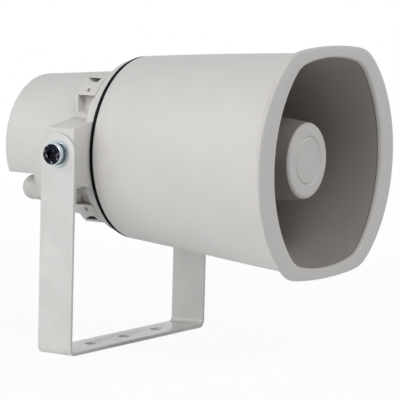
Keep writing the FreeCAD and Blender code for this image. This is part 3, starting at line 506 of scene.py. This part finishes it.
class HORN_OT_bell_shell(bpy.types.Operator):
    """Build the pale bell with its proud, rounded rim"""
    bl_idname = "horn.bell_shell"
    bl_label = "Bell Shell"

    def execute(self, context):
        bell = context.scene.horn_bell
        flare = context.scene.horn_flare
        front_y = BELL_LOW.y
        rear_y = front_y + bell.body_length
        start_y = front_y + bell.rim_depth
        depth = bell.rim_depth
        step = bell.rim_step
        lip = bell.lip_depth
        cover = bell.lip_cover

        def body(y, inset):
            share = (rear_y - y) / (rear_y - start_y)
            ease = share + bell.swell * share * (1 - share)
            return (y, (1 - ease) * bell.rear_radius - step * ease - inset, ease, 0.0)

        hole = flare.throat_radius
        round_edge = 0.0008
        seam = 0.0002
        stations = [(rear_y, hole, 0.0, 0.0)]
        stations += [(rear_y, radius, 0.0, 0.0) for radius in (0.03, 0.05, 0.066)]
        stations += [(rear_y, bell.rear_radius - round_edge, 0.0, 0.0),
                     (rear_y - round_edge * 0.3, bell.rear_radius - round_edge * 0.3, 0.0, 0.0)]
        stations += [body(y, 0.0) for y in spaced(rear_y - round_edge, start_y + 0.001, 18)]
        rim = [(start_y, -step, 1.0, 0.0),
               (start_y - depth * 0.25, -step * 0.86, 1.0, 0.0),
               (start_y - depth * 0.46, -step * 0.38, 1.0, 0.0)]
        rim += [(front_y + depth * along, -cover * share, 1.0 - share, share)
                for along, share in LIP_SECTION]
        rim += [(front_y + lip - seam, -cover, 0.0, 1.0)]
        stations += smoothed(rim, 4)
        back_y = front_y + lip
        thin = bell.wall * 0.6
        stations += [(back_y, seam - cover, 0.0, 1.0), (back_y, -step - thin, 1.0, 0.0)]
        insets = spaced(thin, bell.wall, 8)
        places = spaced(start_y, rear_y - bell.wall, 8)
        stations += [body(y, inset) for y, inset in zip(places, insets)]
        stations += [(rear_y - bell.wall, 0.04, 0.0, 0.0), (rear_y - bell.wall, hole, 0.0, 0.0)]
        bm = skin(stations, bell, flare, True)
        finish_piece(bm, "bell_shell_skin", "horn", ["bell_shell"], finish("pale_shell"),
                     40.0)
        return {"FINISHED"}


class HORN_OT_horn_flare(bpy.types.Operator):
    """Build the darker flare inside the bell"""
    bl_idname = "horn.horn_flare"
    bl_label = "Horn Flare"

    def execute(self, context):
        bell = context.scene.horn_bell
        flare = context.scene.horn_flare
        rear_y = FLARE_HIGH.y
        front_y = FLARE_LOW.y
        bowl_y = rear_y - flare.bowl_depth

        def opening(y, inset):
            share = (bowl_y - y) / (bowl_y - front_y)
            opened = (math.exp(flare.growth * share) - 1) / (math.exp(flare.growth) - 1)
            return (y, (1 - opened) * flare.bowl_radius - inset, 0.0, opened)

        def bowl(inset):
            corner = flare.bowl_depth - inset
            radius = flare.bowl_radius - inset
            points = []
            for index in range(7):
                turn = math.radians(15 * index)
                points.append((bowl_y + corner * math.cos(turn),
                               radius - corner * (1 - math.sin(turn)), 0.0, 0.0))
            return points

        hole = flare.throat_radius
        hub_y = rear_y - flare.hub_depth
        round_edge = 0.0006
        wall = flare.wall
        stations = [(rear_y, hole, 0.0, 0.0)]
        stations += bowl(0.0)
        stations += [opening(y, 0.0) for y in spaced(bowl_y, front_y, 22)[1:]]
        stations += [opening(y, wall) for y in spaced(front_y, bowl_y, 22)[:-1]]
        stations += list(reversed(bowl(wall)))
        stations += [(rear_y - wall, flare.hub_radius, 0.0, 0.0),
                     (hub_y + round_edge, flare.hub_radius, 0.0, 0.0),
                     (hub_y, flare.hub_radius - round_edge, 0.0, 0.0),
                     (hub_y, hole, 0.0, 0.0)]
        bm = skin(stations, bell, flare, True)
        finish_piece(bm, "horn_flare_skin", "horn", ["horn_flare"], finish("grey_flare"),
                     40.0)
        return {"FINISHED"}


class HORN_OT_reflector(bpy.types.Operator):
    """Build the reflector cup and its ringed cap"""
    bl_idname = "horn.reflector"
    bl_label = "Reflector"

    def execute(self, context):
        front = CUP_LOW.y
        rear = CUP_HIGH.y
        wall = 0.002
        end_wall = 0.0045
        cap_radius = (CAP_HIGH.z - CAP_LOW.z) / 2
        radius = cap_radius + 0.0002
        rear_radius = (CUP_HIGH.z - CUP_LOW.z) / 2
        lip = 0.0006
        collar = front - 0.0010
        cup = turned([(0, front), (radius - 0.0012, front), (radius - 0.0011, collar),
                      (radius - 0.0003, collar), (radius, collar + 0.0003),
                      (rear_radius - lip * 0.2, rear - lip),
                      (rear_radius - lip, rear), (rear_radius - wall, rear),
                      (radius - wall + 0.003, front + end_wall + 0.006),
                      (radius - wall, front + end_wall + 0.0015),
                      (radius - wall - 0.003, front + end_wall), (0, front + end_wall)])
        finish_piece(cup, "reflector_cup_skin", "horn", ["reflector_cup"], finish("grey_flare"),
                     30.0)
        cap_front = CAP_LOW.y
        cap_rear = CAP_HIGH.y
        edge = 0.0030
        edge_depth = 0.0026
        ring = 0.0176
        skin_rear = cap_front + 0.002
        skirt = cap_radius - edge - 0.001
        corner = [(cap_radius - edge * (1 - math.sin(math.radians(turn))),
                   cap_front + edge_depth * (1 - math.cos(math.radians(turn))))
                  for turn in range(0, 91, 10)]
        groove = [(ring + across, cap_front + depth)
                  for across, depth in ((-0.0013, 0.0), (-0.0008, 0.0006), (0.0, 0.0009),
                                        (0.0008, 0.0006), (0.0013, 0.0))]
        cap = turned([(0, cap_front)] + groove + corner +
                     [(cap_radius, cap_rear), (skirt, cap_rear), (skirt, skin_rear),
                      (0, skin_rear)])
        finish_piece(cap, "reflector_cap_skin", "horn", ["reflector_cap"], finish("pale_shell"),
                     40.0)
        return {"FINISHED"}


class HORN_OT_bracket(bpy.types.Operator):
    """Build the painted steel U-bracket"""
    bl_idname = "horn.bracket"
    bl_label = "Bracket"

    def execute(self, context):
        bm = softened_copy("bracket", 0.0008, 3)
        finish_piece(bm, "bracket_strip", "bracket", ["bracket"], finish("bracket_paint"),
                     30.0, False)
        return {"FINISHED"}


class HORN_OT_rear_housing(bpy.types.Operator):
    """Build the rear housing and its gasket"""
    bl_idname = "horn.rear_housing"
    bl_label = "Rear Housing"

    def execute(self, context):
        bm = softened_copy("rear_housing", 0.0005)
        finish_piece(bm, "rear_housing_body", "horn", ["rear_housing"], finish("pale_shell"),
                     30.0, False)
        bm = softened_copy("body_gasket", 0.0004)
        finish_piece(bm, "body_gasket_ring", "horn", ["body_gasket"], finish("black_rubber"),
                     30.0, False)
        return {"FINISHED"}


class HORN_OT_fittings(bpy.types.Operator):
    """Build the pivot bolts and give every CAD node that stays in view its own finish"""
    bl_idname = "horn.fittings"
    bl_label = "Fittings"

    def execute(self, context):
        bm = softened_copy("pivot_bolts", 0.0002)
        finish_piece(bm, "pivot_bolt_pair", "horn", ["pivot_bolts"], finish("pivot_bolt"),
                     30.0, False)
        slots = {part["node"]: part["material_slot"] for part in frame["record"]["subparts"]}
        for name, shown in frame["nodes"].items():
            if shown.hide_render:
                continue
            shown.data.materials.clear()
            # Spring washers take the dark painted-shade colour instead of their own slot.
            look = "spring_steel" if name == "spring_washers" else slots[name]
            shown.data.materials.append(finish(look))
        return {"FINISHED"}


class HORN_OT_stage(bpy.types.Operator):
    """Set the floor, the lamps and the camera"""
    bl_idname = "horn.stage"
    bl_label = "Stage"

    def execute(self, context):
        stage = context.scene.horn_stage
        self.camera(context, stage)
        self.floor(context, stage)
        self.lamps(context)
        self.world(context)
        context.scene.view_settings.view_transform = "Standard"
        return {"FINISHED"}

    def camera(self, context, stage):
        turn, rise, roll = stage.azimuth, stage.elevation, stage.roll
        back = Vector((math.sin(turn) * math.cos(rise), -math.cos(turn) * math.cos(rise),
                       math.sin(rise)))
        level = Vector((math.cos(turn), math.sin(turn), 0.0))
        upright = back.cross(level)
        right = math.cos(roll) * level + math.sin(roll) * upright
        up = math.cos(roll) * upright - math.sin(roll) * level
        data = bpy.data.cameras.new("Photo camera")
        data.sensor_width = 36.0
        data.lens = stage.lens
        camera = bpy.data.objects.new("Photo camera", data)
        context.scene.collection.objects.link(camera)
        place = Matrix((right, up, back)).transposed().to_4x4()
        place.translation = Vector(stage.target) + back * stage.distance
        camera.matrix_world = place
        context.scene.camera = camera

    def floor(self, context, stage):
        clearance = 0.0004
        bm = bmesh.new()
        bmesh.ops.create_grid(bm, x_segments=1, y_segments=1, size=6.0,
                              matrix=Matrix.Translation((0, 0, -clearance)))
        mesh = bpy.data.meshes.new("Floor")
        bm.to_mesh(mesh)
        bm.free()
        floor = bpy.data.objects.new("Floor", mesh)
        context.scene.collection.objects.link(floor)
        material, tree, shader = material_base("Paper floor")
        shader.inputs["Roughness"].default_value = 0.9
        grain = object_noise(tree, 30.0)
        tint = tinted(tree, grain, shade(stage.floor[:], 0.995), stage.floor[:])
        tree.links.new(tint, shader.inputs["Base Color"])
        paper = node(tree, "ShaderNodeEmission", Strength=1.0)
        seen = background_rays(tree)
        place = node(tree, "ShaderNodeTexCoord")
        distance = node(tree, "ShaderNodeVectorMath", operation="LENGTH")
        tree.links.new(place.outputs["Object"], distance.inputs[0])
        fade = ranged(tree, distance.outputs["Value"], 0.93, 1.0, 0.25, 1.2)
        share = node(tree, "ShaderNodeMath", operation="MULTIPLY")
        mix = tree.nodes.new("ShaderNodeMixShader")
        tree.links.new(seen, share.inputs[0])
        tree.links.new(fade, share.inputs[1])
        tree.links.new(share.outputs["Value"], mix.inputs["Fac"])
        tree.links.new(shader.outputs["BSDF"], mix.inputs[1])
        tree.links.new(paper.outputs["Emission"], mix.inputs[2])
        tree.links.new(mix.outputs["Shader"],
                       tree.nodes["Material Output"].inputs["Surface"])
        mesh.materials.append(material)

    def lamps(self, context):
        for name, place, power in LAMPS:
            data = bpy.data.lights.new(name, "AREA")
            data.shape = "SQUARE"
            data.size = LAMP_SIZE
            data.energy = power
            lamp = bpy.data.objects.new(name, data)
            context.scene.collection.objects.link(lamp)
            aim = LAMP_AIM - Vector(place)
            lamp.matrix_world = (Matrix.Translation(place)
                                 @ aim.to_track_quat("-Z", "Y").to_matrix().to_4x4())

    def world(self, context):
        world = bpy.data.worlds.new("Studio")
        context.scene.world = world
        world.use_nodes = True
        tree = world.node_tree
        tree.nodes.clear()
        seen = background_rays(tree)
        bright = node(tree, "ShaderNodeMapRange")
        back = tree.nodes.new("ShaderNodeBackground")
        out = tree.nodes.new("ShaderNodeOutputWorld")
        tree.links.new(seen, bright.inputs["Value"])
        bright.inputs["To Min"].default_value = 0.15
        bright.inputs["To Max"].default_value = 1.0
        tree.links.new(bright.outputs["Result"], back.inputs["Strength"])
        back.inputs["Color"].default_value = (1.0, 1.0, 1.0, 1.0)
        tree.links.new(back.outputs["Background"], out.inputs["Surface"])


class HORN_PT_panel(bpy.types.Panel):
    """Lists the sizes, colours and pieces of the horn loudspeaker"""
    bl_idname = "HORN_PT_panel"
    bl_label = "Horn Loudspeaker"
    bl_space_type = "VIEW_3D"
    bl_region_type = "UI"
    bl_category = "Horn"

    def draw(self, context):
        scene = context.scene
        for settings in (scene.horn_bell, scene.horn_flare, scene.horn_finish, scene.horn_stage):
            box = self.layout.box()
            for key in settings.__annotations__:
                box.prop(settings, key)
        for operator in OPERATORS:
            self.layout.operator(operator.bl_idname)


SETTINGS = {"horn_bell": BellSettings, "horn_flare": FlareSettings,
            "horn_finish": FinishSettings, "horn_stage": StageSettings}
OPERATORS = (HORN_OT_bell_shell, HORN_OT_horn_flare, HORN_OT_reflector, HORN_OT_bracket,
             HORN_OT_rear_housing, HORN_OT_fittings, HORN_OT_stage)


def register():
    for group in SETTINGS.values():
        bpy.utils.register_class(group)
    for operator in OPERATORS:
        bpy.utils.register_class(operator)
    bpy.utils.register_class(HORN_PT_panel)
    for name, group in SETTINGS.items():
        setattr(bpy.types.Scene, name, PointerProperty(type=group))


def unregister():
    for name in SETTINGS:
        delattr(bpy.types.Scene, name)
    bpy.utils.unregister_class(HORN_PT_panel)
    for operator in reversed(OPERATORS):
        bpy.utils.unregister_class(operator)
    for group in reversed(SETTINGS.values()):
        bpy.utils.unregister_class(group)


def main():
    register()
    bpy.ops.horn.bell_shell()
    bpy.ops.horn.horn_flare()
    bpy.ops.horn.reflector()
    bpy.ops.horn.bracket()
    bpy.ops.horn.rear_housing()
    bpy.ops.horn.fittings()
    bpy.ops.horn.stage()


if __name__ == "__main__":
    main()
